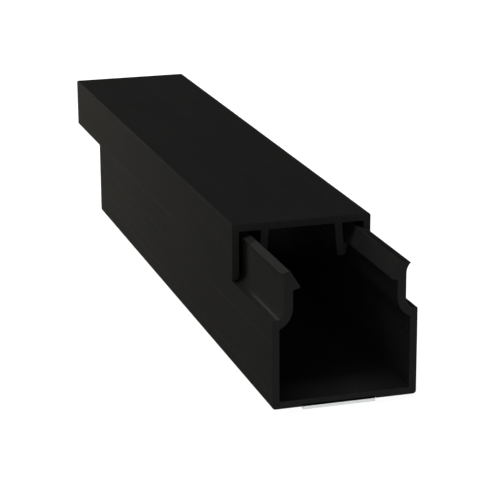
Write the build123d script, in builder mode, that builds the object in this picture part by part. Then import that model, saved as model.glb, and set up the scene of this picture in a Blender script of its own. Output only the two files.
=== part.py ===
from build123d import *
from math import radians, sqrt, tan
import os

# Adhesive cable trunking: a channel with a clip-on cover and a strip of foam tape underneath.
# Millimetres. X runs across the section, Y along the trunking, +Z from the taped face to the cover.
# The origin is midway along the base, on the lower face of the tape's release liner.

# Stock sizes
stock_length = 202.0
section_width = 40.0
section_height = 40.0
cover_drawn_back = 36.0

# Tape and liner
tape_width = 20.0
tape_thickness = 1.4
tape_off_centre = 1.5
liner_thickness = 0.1
recess_depth = 0.6
recess_side_clearance = 0.2

# Base: channel and shoulders
wall_thickness = 2.0
floor_thickness = 2.0
ledge_height = 24.0
ledge_width = 0.2
ledge_thickness = 2.2
shoulder_inner_rise = 5.6
bottom_corner_radius = 0.9
floor_corner_radius = 0.5

# Base: necks and barbs; the flare under the +X barb reaches out to the cover's flange
neck_setback = 3.3
neck_thickness = 2.4
left_flare_width = 0.75
left_flare_height = 1.5
right_flare_height = 2.8
flare_clearance = 0.1
barb_setback = 4.95
barb_top_slope = 15.0
barb_slope_height = 4.3
barb_reach = 1.9
barb_tip_height = 0.45
barb_undercut = 0.45
barb_tip_radius = 0.15

# Cover
cover_thickness = 2.0
cover_corner_radius = 0.5
flange_thickness = 2.0
leg_thickness = 2.2
leg_length = 9.25
leg_lean = 5.5
leg_root_radius = 0.3
leg_foot_radius = 0.45
hook_overlap = 1.05

# Radius on the two edges that meet along the outside, and on every other long edge
seam_edge_radius = 0.05
edge_radius = 0.2

# Fits between the cover and the base
seat_clearance = 0.02
shoulder_clearance = 0.1
barb_top_clearance = 0.7
leg_clearance = 0.25
latch_clearance = 0.3

# Levels, measured from the surface that the liner lies on
base_bottom = liner_thickness + tape_thickness - recess_depth
floor_top = base_bottom + floor_thickness
ledge_top = base_bottom + ledge_height
cover_top = base_bottom + section_height
cover_underside = cover_top - cover_thickness
barb_top = cover_underside - barb_top_clearance

# Distances from the middle plane
half_width = section_width / 2
wall_inner = half_width - wall_thickness
flange_inner = half_width - flange_thickness
ledge_inner = half_width - ledge_width
neck_outer = half_width - neck_setback
neck_inner = neck_outer - neck_thickness

# Corners of the base's shoulder, neck and barb on the +X side
shoulder_radius = ledge_inner - neck_outer
ledge_edge = (ledge_inner, ledge_top)
shoulder_top = (neck_outer, ledge_top + shoulder_radius)
barb_fall = tan(radians(barb_top_slope))
barb_edge = (half_width - barb_setback, barb_top)
neck_top = (neck_outer, barb_top - barb_fall * (neck_outer - barb_edge[0]))
barb_tip_upper = (neck_inner - barb_reach, barb_top - barb_slope_height)
barb_tip_lower = (barb_tip_upper[0], barb_tip_upper[1] - barb_tip_height)
barb_root = (neck_inner, barb_tip_lower[1] - barb_undercut)
shoulder_under = (wall_inner, ledge_top - ledge_thickness)
neck_under = (neck_inner, shoulder_under[1] + shoulder_inner_rise)

# Outer edges of the flares under the two barbs, on the line of the barb's top face
left_flare_edge = neck_outer + left_flare_width
right_flare_edge = flange_inner - flare_clearance
flares = [
    (-1, left_flare_edge, left_flare_height),
    (1, right_flare_edge, right_flare_height),
]

# The cover's flange sits over the shoulder, a quarter arc from the ledge up to the neck
flange_from_arc_centre = ledge_inner - flange_inner
shoulder_at_flange = shoulder_top[1] - sqrt(shoulder_radius**2 - flange_from_arc_centre**2)

# Corners of the cover's flange and leg on the +X side; the leg's hook latches under the barb
flange_foot = ledge_top + seat_clearance
flange_bevel_top = shoulder_at_flange + shoulder_clearance
lean = tan(radians(leg_lean))
leg_face = barb_tip_upper[0] - leg_clearance
leg_root = (leg_face - lean * (cover_underside - barb_tip_upper[1]), cover_underside)
latch_root = (leg_face, barb_tip_lower[1] - latch_clearance)
latch_slope = barb_undercut / barb_reach
hook_tip = (barb_tip_lower[0] + hook_overlap, latch_root[1] - latch_slope * hook_overlap)
leg_foot = (leg_root[0] + lean * leg_length, cover_underside - leg_length)
leg_foot_inner = (leg_foot[0] - leg_thickness, leg_foot[1])
leg_root_inner = (leg_root[0] - leg_thickness, leg_root[1])

# Front ends of the two lengths; the cover is drawn back from the base's front end
base_front = Plane.XZ.offset(stock_length / 2)
cover_front = base_front.offset(-cover_drawn_back)

# Base: one extrusion with its floor, walls, shoulders, necks and barbs
with BuildPart() as trunking_base:
    with BuildSketch(base_front) as base_section:
        with BuildLine():
            Polyline((0, base_bottom), (half_width, base_bottom), (half_width, ledge_top), ledge_edge)
            TangentArc(shoulder_top, ledge_edge, tangent=(0, -1))
            Polyline(shoulder_top, neck_top, barb_edge, barb_tip_upper, barb_tip_lower)
            Polyline(barb_tip_lower, barb_root, neck_under)
            TangentArc(neck_under, shoulder_under, tangent=(0, -1))
            Polyline(shoulder_under, (wall_inner, floor_top), (0, floor_top), (0, base_bottom))
        make_face()
        base_corners = [
            ((half_width, base_bottom), bottom_corner_radius),
            ((half_width, ledge_top), seam_edge_radius),
            (barb_edge, edge_radius),
            (barb_tip_upper, barb_tip_radius),
            (barb_tip_lower, barb_tip_radius),
            (barb_root, edge_radius),
            (shoulder_under, edge_radius),
            ((wall_inner, floor_top), floor_corner_radius),
        ]
        for corner, radius in base_corners:
            fillet(base_section.vertices().sort_by_distance(corner)[0], radius)
        mirror(about=Plane.YZ)
        for side, flare_edge, flare_height in flares:
            flare_top = (side * flare_edge, neck_top[1] - barb_fall * (flare_edge - neck_outer))
            flare_root = (side * neck_outer, flare_top[1] - flare_height)
            with BuildLine():
                TangentArc(flare_root, flare_top, tangent=(0, 1))
                Polyline(flare_top, (side * neck_outer, neck_top[1]), flare_root)
            make_face()
        with Locations((-tape_off_centre, base_bottom + recess_depth / 2)):
            Rectangle(tape_width + 2 * recess_side_clearance, recess_depth, mode=Mode.SUBTRACT)
    extrude(amount=-stock_length)

# Cover: a plate with two flanges that sit over the shoulders and two legs that hook under the barbs
with BuildPart() as trunking_cover:
    with BuildSketch(cover_front) as cover_section:
        with BuildLine():
            Polyline(
                (0, cover_top),
                (half_width, cover_top),
                (half_width, flange_foot),
                (ledge_inner, flange_foot),
                (flange_inner, flange_bevel_top),
                (flange_inner, cover_underside),
                leg_root,
                latch_root,
                hook_tip,
                leg_foot,
                leg_foot_inner,
                leg_root_inner,
                (0, cover_underside),
                close=True,
            )
        make_face()
        cover_corners = [
            ((half_width, cover_top), cover_corner_radius),
            ((half_width, flange_foot), seam_edge_radius),
            ((flange_inner, flange_bevel_top), edge_radius),
            ((flange_inner, cover_underside), edge_radius),
            (leg_root, leg_root_radius),
            (hook_tip, edge_radius),
            (leg_foot, leg_foot_radius),
            (leg_foot_inner, leg_foot_radius),
            (leg_root_inner, leg_root_radius),
        ]
        for corner, radius in cover_corners:
            fillet(cover_section.vertices().sort_by_distance(corner)[0], radius)
        mirror(about=Plane.YZ)
    extrude(amount=-stock_length)

# Foam tape, stuck into the recess of the base's underside
with BuildPart() as foam_tape:
    with BuildSketch(base_front):
        with Locations((-tape_off_centre, liner_thickness + tape_thickness / 2)):
            Rectangle(tape_width, tape_thickness)
    extrude(amount=-stock_length)

# Release liner over the tape's lower face
with BuildPart() as release_liner:
    with BuildSketch(base_front):
        with Locations((-tape_off_centre, liner_thickness / 2)):
            Rectangle(tape_width, liner_thickness)
    extrude(amount=-stock_length)

trunking_base.part.label = "trunking_base"
trunking_cover.part.label = "trunking_cover"
foam_tape.part.label = "foam_tape"
release_liner.part.label = "release_liner"

os.makedirs("parts", exist_ok=True)
export_step(trunking_base.part, "parts/trunking_base.step")
export_step(trunking_cover.part, "parts/trunking_cover.step")
export_step(foam_tape.part, "parts/foam_tape.step")
export_step(release_liner.part, "parts/release_liner.step")
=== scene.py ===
import math

import bmesh
import bpy
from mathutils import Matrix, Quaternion, Vector, noise


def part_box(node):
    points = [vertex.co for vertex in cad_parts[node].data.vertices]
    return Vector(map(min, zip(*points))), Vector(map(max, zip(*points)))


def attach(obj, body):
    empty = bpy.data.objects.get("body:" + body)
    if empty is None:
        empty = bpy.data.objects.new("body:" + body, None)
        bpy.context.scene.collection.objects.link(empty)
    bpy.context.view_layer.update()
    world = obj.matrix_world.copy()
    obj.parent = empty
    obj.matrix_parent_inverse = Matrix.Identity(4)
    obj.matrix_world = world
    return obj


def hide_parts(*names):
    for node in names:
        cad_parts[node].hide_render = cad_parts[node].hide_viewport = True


# Adhesive cable trunking in a plain light studio. Metres, in the CAD model's frame:
# X across the section, Y along the trunking, +Z from the taped face to the cover.

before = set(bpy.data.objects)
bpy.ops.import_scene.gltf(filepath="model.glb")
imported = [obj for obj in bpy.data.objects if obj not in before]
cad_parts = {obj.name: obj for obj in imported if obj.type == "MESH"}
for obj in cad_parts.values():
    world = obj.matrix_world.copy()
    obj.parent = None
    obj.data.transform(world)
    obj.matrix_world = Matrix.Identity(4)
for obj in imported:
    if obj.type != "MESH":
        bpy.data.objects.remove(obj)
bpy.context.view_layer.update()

base_low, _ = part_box("trunking_base")
foam_low, foam_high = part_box("foam_tape")
liner_low, liner_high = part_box("release_liner")

MM = 0.001
WHITE = (1.0, 1.0, 1.0, 1.0)

# Where one noise mostly lies, and where the sum of two does
NOISE_RANGE = (0.3, 0.7)
NOISE_SUM_RANGE = (0.7, 1.3)

# Finish of the extruded plastic
PLASTIC_DARK = (0.0092, 0.0093, 0.0091)
PLASTIC_LIGHT = (0.0105, 0.0105, 0.0103)
PLASTIC_SAWN = (0.0100, 0.0102, 0.0099)
PLASTIC_WORN = (0.0170, 0.0170, 0.0165)
PLASTIC_ROUGHNESS = (0.235, 0.275)
SAWN_ROUGHNESS = 0.40
PLASTIC_RELIEF = 0.004 * MM
PLASTIC_RELIEF_STRENGTH = 0.6
BROKEN_EDGE = 0.15 * MM
BROKEN_EDGE_SAMPLES = 4

# Patterns in the plastic, as frequencies per metre along X, Y and Z
STREAKS = (300, 3, 300)
PATCHES = (50, 20, 50)
GRAIN = (4500, 4500, 4500)
DIE_LINES = (2200, 7, 2200)
SAW_MARKS = (180, 180, 3200)

# Their shares in the relief
DIE_LINE_SHARE, DRAWN_GRAIN_SHARE = 0.5, 0.5
SAW_MARK_SHARE, SAWN_GRAIN_SHARE = 2.5, 0.8

# How squarely a sawn face looks along Y, how well the rounded normal agrees with the face's
# own from beside an edge to its middle, and the range of noise that breaks up the wear there
SAWN_FACING = (0.80, 0.90)
EDGE_AGREEMENT = (0.995, 0.80)
WEAR_RANGE = (0.8, 1.3)

# Foam tape: its sides bulge a little and follow the knife, and its upper part in the recess is
# painted near black, partly adhesive and partly painted shade of the recess
FOAM_WHITE = (0.72, 0.71, 0.72)
FOAM_CELL = (0.62, 0.61, 0.62)
FOAM_ADHESIVE_AND_RECESS_SHADE = (0.0012, 0.0012, 0.0012)
FOAM_ROUGHNESS, SHADED_ADHESIVE_ROUGHNESS = 0.85, 0.60
FOAM_SPECULAR, SHADED_ADHESIVE_SPECULAR = 0.50, 0.05
FOAM_CELLS = (5200, 3200, 5200)
FOAM_CELL_WALL = (0.15, 0.75)
FOAM_PATCHES = (400, 120, 400)
FOAM_PATCH_DEPTH = (0.5, 1.0)
FOAM_RELIEF = 0.04 * MM
FOAM_RELIEF_STRENGTH = 0.7
FOAM_BULGE = 0.06 * MM
FOAM_WANDER = 0.05 * MM
FOAM_WAVES = 90
FOAM_WAVE_LEAN = 0.6
FOAM_NOISE_ROW = 7.0
FOAM_END_ROUNDING = 0.05 * MM
RECESS_MOUTH = base_low.z
SHADED_ADHESIVE_WAVES = (900, 900, 0)
SHADED_ADHESIVE_WANDER = 0.06 * MM
SHADED_ADHESIVE_BLEND = 0.06 * MM

# Release liner: siliconised paper
PAPER_WHITE = (0.84, 0.84, 0.82)
PAPER_FIBRE = (0.76, 0.75, 0.72)
PAPER_ROUGHNESS = (0.42, 0.58)
PAPER_FIBRES = (2600, 700, 2600)
PAPER_BLOTCHES = (120, 90, 120)
PAPER_TONE_RANGE = (0.7, 1.4)
PAPER_RELIEF = 0.01 * MM
PAPER_RELIEF_STRENGTH = 0.4
LINER_WANDER = 0.04 * MM
LINER_WAVES = 60
LINER_NOISE_ROW, LINER_NOISE_LAYER = 3.0, 5.0
LINER_END_ROUNDING = 0.01 * MM

# Faces of the two strips: their length, and how many make up the height and the width
STRIP_STEP = 2.0 * MM
STRIP_LEVELS = 8
STRIP_COLUMNS = 20

# Camera at the photograph's viewpoint
CAMERA_PLACE = Vector((-0.15944, -0.54472, 0.18481))
CAMERA_AIM = Vector((0.00711, 0.01292, 0.01053))
CAMERA_ROLL = math.radians(-0.3875)
CAMERA_LENS = 140.757
CAMERA_CLIP = (0.01, 50.0)

# Studio floor and backdrop
FLOOR_HALF_SIZE = 4.0
FLOOR_GREY = (0.16, 0.16, 0.16, 1.0)
FLOOR_ROUGHNESS = 0.9
FLOOR_GLOW = 0.95
BACKDROP_GLOW = 1.1

# Lamps: name, azimuth and elevation in degrees, distance, width, height, watts, tint, glint
LAMP_AIM = Vector((0.0, 0.01, 0.02))
LAMPS = (
    ("top_light", 0, 55, 1.4, 0.6, 0.45, 22.0, (1.0, 0.98, 1.0), False),
    ("left_top_light", -45, 55, 1.4, 0.6, 0.45, 8.0, (0.92, 1.0, 0.95), False),
    ("back_light", -12, 20, 1.4, 0.2, 0.15, 7.6, (1.0, 0.96, 1.0), False),
    ("left_side_light", -50, 3, 0.34, 0.2, 0.15, 3.7, (1.0, 0.95, 0.85), False),
    ("front_light", 180, 12, 1.4, 0.6, 0.45, 7.0, (0.93, 1.0, 0.93), False),
    ("front_left_light", -150, 12, 1.4, 0.6, 0.45, 2.7, (0.90, 0.96, 1.0), False),
    ("shoulder_glint", -7, 20, 1.4, 0.2, 0.2, 0.12, (1.0, 0.98, 0.98), True),
    ("barb_glint", 6, 25, 1.4, 0.13, 0.13, 0.014, (1.0, 0.97, 0.92), True),
)


def node(tree, kind, inputs=None, **settings):
    """A shader node with its settings made and its sockets set or linked."""
    made = tree.nodes.new(kind)
    for name, value in settings.items():
        setattr(made, name, value)
    for key, value in (inputs or {}).items():
        if isinstance(value, bpy.types.NodeSocket):
            tree.links.new(value, made.inputs[key])
        else:
            made.inputs[key].default_value = value
    return made


def blank_material(name):
    """A new material with its node tree, its shader and the piece's own coordinates."""
    material = bpy.data.materials.new(name)
    material.use_nodes = True
    tree = material.node_tree
    shader = tree.nodes["Principled BSDF"]
    place = node(tree, "ShaderNodeTexCoord").outputs["Object"]
    return material, tree, shader, place


def maths(tree, operation, *values, clamp=False):
    """The result of one operation on values or sockets."""
    inputs = dict(enumerate(values))
    return node(tree, "ShaderNodeMath", inputs, operation=operation, use_clamp=clamp).outputs[0]


def stretched(tree, place, frequency):
    """The place times a frequency per metre along X, Y and Z."""
    inputs = {0: place, 1: frequency}
    return node(tree, "ShaderNodeVectorMath", inputs, operation="MULTIPLY").outputs[0]


def clouds(tree, place, frequency, detail=3.0, roughness=0.5):
    """Noise from 0 to 1 at a frequency per metre along X, Y and Z."""
    inputs = {
        "Vector": stretched(tree, place, frequency),
        "Scale": 1.0,
        "Detail": detail,
        "Roughness": roughness,
    }
    return node(tree, "ShaderNodeTexNoise", inputs).outputs["Fac"]


def ramp(tree, value, low, high, to_low=0.0, to_high=1.0):
    """The value carried over from low and high to to_low and to_high, and held between them."""
    inputs = {
        "Value": value,
        "From Min": low,
        "From Max": high,
        "To Min": to_low,
        "To Max": to_high,
    }
    return node(tree, "ShaderNodeMapRange", inputs).outputs["Result"]


def between(tree, share, first, second):
    """The value at a share of the way from first to second."""
    return ramp(tree, share, 0.0, 1.0, first, second)


def mix(tree, share, first, second):
    """The colour at a share of the way from first to second."""
    made = node(tree, "ShaderNodeMix", data_type="RGBA")
    for key, value in (("Factor", share), ("A", first), ("B", second)):
        socket = next(s for s in made.inputs if s.name == key and s.enabled)
        if isinstance(value, bpy.types.NodeSocket):
            tree.links.new(value, socket)
        else:
            socket.default_value = (*value, 1.0)
    return next(s for s in made.outputs if s.enabled)


def set_relief(tree, shader, height, distance, strength, inputs=None, **settings):
    """Gives the shader a bump of that height and strength."""
    inputs = {"Strength": strength, "Distance": distance, "Height": height, **(inputs or {})}
    bump = node(tree, "ShaderNodeBump", inputs, **settings)
    tree.links.new(bump.outputs[0], shader.inputs["Normal"])


def plastic(name):
    """Black extruded plastic with die lines along Y, sawn ends and slightly worn edges."""
    material, tree, shader, place = blank_material(name)
    normal = node(tree, "ShaderNodeNewGeometry").outputs["Normal"]
    facing = node(tree, "ShaderNodeSeparateXYZ", {0: normal}).outputs["Y"]
    sawn = ramp(tree, maths(tree, "ABSOLUTE", facing), *SAWN_FACING)

    streaks = clouds(tree, place, STREAKS, 3.0, 0.6)
    patches = clouds(tree, place, PATCHES)
    grain = clouds(tree, place, GRAIN, 2.0)
    die_lines = clouds(tree, place, DIE_LINES, 2.0, 0.6)
    saw_marks = clouds(tree, place, SAW_MARKS, 2.0, 0.6)

    radius = {"Radius": BROKEN_EDGE}
    rounded = node(tree, "ShaderNodeBevel", radius, samples=BROKEN_EDGE_SAMPLES).outputs[0]
    both_normals = {0: rounded, 1: normal}
    compared = node(tree, "ShaderNodeVectorMath", both_normals, operation="DOT_PRODUCT")
    edge = ramp(tree, compared.outputs["Value"], *EDGE_AGREEMENT)
    rubbed = ramp(tree, maths(tree, "ADD", patches, grain), *WEAR_RANGE)
    wear = maths(tree, "MULTIPLY", edge, rubbed, clamp=True)

    tone = ramp(tree, maths(tree, "ADD", streaks, patches), *NOISE_SUM_RANGE)
    drawn_colour = mix(tree, tone, PLASTIC_DARK, PLASTIC_LIGHT)
    sawn_colour = mix(tree, saw_marks, PLASTIC_DARK, PLASTIC_SAWN)
    colour = mix(tree, sawn, drawn_colour, sawn_colour)
    colour = mix(tree, wear, colour, PLASTIC_WORN)
    tree.links.new(colour, shader.inputs["Base Color"])

    smears = maths(tree, "ADD", streaks, grain)
    gloss = ramp(tree, smears, *NOISE_SUM_RANGE, *PLASTIC_ROUGHNESS)
    rough = between(tree, sawn, gloss, SAWN_ROUGHNESS)
    tree.links.new(rough, shader.inputs["Roughness"])

    drawn_grain = maths(tree, "MULTIPLY", grain, DRAWN_GRAIN_SHARE)
    drawn = maths(tree, "MULTIPLY_ADD", die_lines, DIE_LINE_SHARE, drawn_grain)
    sawn_grain = maths(tree, "MULTIPLY", grain, SAWN_GRAIN_SHARE)
    cut = maths(tree, "MULTIPLY_ADD", saw_marks, SAW_MARK_SHARE, sawn_grain)
    height = between(tree, sawn, drawn, cut)
    on_rounded = {"Normal": rounded}
    set_relief(tree, shader, height, PLASTIC_RELIEF, PLASTIC_RELIEF_STRENGTH, on_rounded)
    return material


def foam(name):
    """White closed-cell foam whose part in the recess is painted near black, partly as adhesive
    and partly as painted shade of the recess.
    """
    material, tree, shader, place = blank_material(name)
    cell_place = {"Vector": stretched(tree, place, FOAM_CELLS), "Scale": 1.0}
    cells = node(tree, "ShaderNodeTexVoronoi", cell_place)
    cell = ramp(tree, cells.outputs["Distance"], *FOAM_CELL_WALL)
    patches = clouds(tree, place, FOAM_PATCHES)
    patches = ramp(tree, patches, *NOISE_RANGE, *FOAM_PATCH_DEPTH)
    tone = maths(tree, "MULTIPLY", cell, patches)

    height = node(tree, "ShaderNodeSeparateXYZ", {0: place}).outputs["Z"]
    waves = clouds(tree, place, SHADED_ADHESIVE_WAVES)
    wavy_height = maths(tree, "MULTIPLY_ADD", waves, SHADED_ADHESIVE_WANDER, height)
    # Painted shade: above the base's underside the foam turns near black, standing for its
    # adhesive and for the shade in the recess
    shaded_adhesive = ramp(tree, wavy_height, RECESS_MOUTH, RECESS_MOUTH + SHADED_ADHESIVE_BLEND)

    colour = mix(tree, shaded_adhesive, mix(tree, tone, FOAM_WHITE, FOAM_CELL), FOAM_ADHESIVE_AND_RECESS_SHADE)
    rough = between(tree, shaded_adhesive, FOAM_ROUGHNESS, SHADED_ADHESIVE_ROUGHNESS)
    specular = between(tree, shaded_adhesive, FOAM_SPECULAR, SHADED_ADHESIVE_SPECULAR)
    tree.links.new(colour, shader.inputs["Base Color"])
    tree.links.new(rough, shader.inputs["Roughness"])
    tree.links.new(specular, shader.inputs["Specular IOR Level"])
    set_relief(tree, shader, cell, FOAM_RELIEF, FOAM_RELIEF_STRENGTH, invert=True)
    return material


def paper(name):
    """Siliconised paper with faint fibres."""
    material, tree, shader, place = blank_material(name)
    fibres = clouds(tree, place, PAPER_FIBRES, 4.0, 0.65)
    blotches = clouds(tree, place, PAPER_BLOTCHES)
    tone = ramp(tree, maths(tree, "ADD", fibres, blotches), *PAPER_TONE_RANGE)
    colour = mix(tree, tone, PAPER_WHITE, PAPER_FIBRE)
    rough = ramp(tree, fibres, *NOISE_RANGE, *PAPER_ROUGHNESS)
    tree.links.new(colour, shader.inputs["Base Color"])
    tree.links.new(rough, shader.inputs["Roughness"])
    set_relief(tree, shader, fibres, PAPER_RELIEF, PAPER_RELIEF_STRENGTH)
    return material


def dress(name, material):
    """Gives a CAD node its material."""
    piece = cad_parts[name]
    piece.data.materials.clear()
    piece.data.materials.append(material)


def stations(low, high, rounding):
    """Places along Y, with one close to each end, and how far the strip is drawn in at each."""
    inner_low, inner_high = low + rounding, high - rounding
    count = round((inner_high - inner_low) / STRIP_STEP)
    inner = [inner_low + (inner_high - inner_low) * i / count for i in range(count + 1)]
    return [(low, rounding), *((y, 0.0) for y in inner), (high, rounding)]


def outline(left, right):
    """The corners of a strip's section, up its left side and back down its right side."""
    across = [i / STRIP_COLUMNS for i in range(1, STRIP_COLUMNS)]
    (left_bottom, _), (left_top, _) = left[0], left[-1]
    (right_bottom, _), (right_top, _) = right[0], right[-1]
    top = [(left_top + (right_top - left_top) * share, 1.0) for share in across]
    bottom = [(right_bottom + (left_bottom - right_bottom) * share, 0.0) for share in across]
    return [*left, *top, *reversed(right), *bottom]


def strip(name, low, high, rounding, side, material):
    """A long strip along Y between two corners.

    side(y, up, sign) says how far the strip's side stands out of that box, with up from
    0 below to 1 on top, and with sign -1 on the left and 1 on the right.
    """
    levels = [i / STRIP_LEVELS for i in range(STRIP_LEVELS + 1)]
    shape = bmesh.new()
    rings = []
    for y, drawn_in in stations(low.y, high.y, rounding):
        left = [(low.x - side(y, up, -1) + drawn_in, up) for up in levels]
        right = [(high.x + side(y, up, 1) - drawn_in, up) for up in levels]
        corners = [(x, y, low.z + (high.z - low.z) * up) for x, up in outline(left, right)]
        rings.append([shape.verts.new(corner) for corner in corners])
    for near, far in zip(rings, rings[1:]):
        for i, corner in enumerate(near):
            j = (i + 1) % len(near)
            shape.faces.new((corner, near[j], far[j], far[i]))
    shape.faces.new(rings[0])
    shape.faces.new(rings[-1])
    bmesh.ops.recalc_face_normals(shape, faces=shape.faces)
    mesh = bpy.data.meshes.new(name)
    shape.to_mesh(mesh)
    shape.free()
    mesh.materials.append(material)
    piece = bpy.data.objects.new(name, mesh)
    bpy.context.scene.collection.objects.link(piece)
    return piece


def foam_side(y, up, sign):
    """The tape's side: bulged below the recess, straight in it, and wavy from the knife."""
    height = foam_low.z + (foam_high.z - foam_low.z) * up
    proud = (height - foam_low.z) / (RECESS_MOUTH - foam_low.z)
    bulge = FOAM_BULGE * math.sin(math.pi * proud) if proud < 1 else 0.0
    wave_place = Vector((y * FOAM_WAVES, sign * FOAM_NOISE_ROW, up * FOAM_WAVE_LEAN))
    return bulge + FOAM_WANDER * noise.noise(wave_place)


def liner_side(y, up, sign):
    """The paper's side, a little wavy from the knife and the same from top to bottom."""
    wave_place = Vector((y * LINER_WAVES, sign * LINER_NOISE_ROW, LINER_NOISE_LAYER))
    return LINER_WANDER * noise.noise(wave_place)


def white_floor():
    """A pale floor that glows, so that the object's shadow on it stays faint."""
    bpy.ops.mesh.primitive_plane_add(size=2 * FLOOR_HALF_SIZE, location=(0, 0, liner_low.z))
    floor = bpy.context.object
    floor.name = "floor"
    floor.visible_glossy = False
    material, _, shader, _ = blank_material("pale_floor")
    shader.inputs["Base Color"].default_value = FLOOR_GREY
    shader.inputs["Roughness"].default_value = FLOOR_ROUGHNESS
    shader.inputs["Emission Color"].default_value = WHITE
    shader.inputs["Emission Strength"].default_value = FLOOR_GLOW
    floor.data.materials.append(material)


def backdrop():
    """White all round for the camera; the lamps and the floor alone light the object."""
    world = bpy.data.worlds.new("studio")
    bpy.context.scene.world = world
    world.use_nodes = True
    white = world.node_tree.nodes["Background"]
    white.inputs["Color"].default_value = WHITE
    white.inputs["Strength"].default_value = BACKDROP_GLOW
    world.cycles_visibility.diffuse = False
    world.cycles_visibility.glossy = False


def softbox(name, azimuth, elevation, distance, width, height, power, tint, glint):
    """A soft lamp that faces the object and shows in its gloss only where it makes a glint.

    Azimuth is from +Y towards +X, elevation above the floor, distance from the object's
    middle. A lamp that makes a glint lights the base alone, so the cover's edge stays plain.
    """
    turn, rise = math.radians(azimuth), math.radians(elevation)
    level = math.cos(rise)
    away = Vector((math.sin(turn) * level, math.cos(turn) * level, math.sin(rise)))
    lamp = bpy.data.lights.new(name, "AREA")
    lamp.shape = "RECTANGLE"
    lamp.size = width
    lamp.size_y = height
    lamp.energy = power
    lamp.color = tint
    held = bpy.data.objects.new(name, lamp)
    held.location = LAMP_AIM + distance * away
    held.rotation_mode = "QUATERNION"
    held.rotation_quaternion = (-away).to_track_quat("-Z", "Y")
    held.visible_camera = False
    held.visible_glossy = glint
    if glint:
        lit = bpy.data.collections.new(name + "_lit")
        lit.objects.link(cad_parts["trunking_base"])
        held.light_linking.receiver_collection = lit
    bpy.context.scene.collection.objects.link(held)


def camera():
    """The camera stands where the photograph was taken from."""
    lens = bpy.data.cameras.new("camera")
    lens.lens = CAMERA_LENS
    lens.clip_start, lens.clip_end = CAMERA_CLIP
    held = bpy.data.objects.new("camera", lens)
    held.location = CAMERA_PLACE
    held.rotation_mode = "QUATERNION"
    look = (CAMERA_AIM - CAMERA_PLACE).to_track_quat("-Z", "Y")
    held.rotation_quaternion = look @ Quaternion((0.0, 0.0, 1.0), CAMERA_ROLL)
    bpy.context.scene.collection.objects.link(held)
    bpy.context.scene.camera = held


pvc = plastic("black_pvc")
dress("trunking_base", pvc)
dress("trunking_cover", pvc)

white_foam = foam("white_foam")
tape = strip("tape_strip", foam_low, foam_high, FOAM_END_ROUNDING, foam_side, white_foam)
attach(tape, "base")
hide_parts("foam_tape")

liner_paper = paper("liner_paper")
liner = strip("liner_strip", liner_low, liner_high, LINER_END_ROUNDING, liner_side, liner_paper)
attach(liner, "base")
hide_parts("release_liner")

white_floor()
backdrop()
for lamp_settings in LAMPS:
    softbox(*lamp_settings)
camera()
bpy.context.scene.view_settings.view_transform = "Standard"
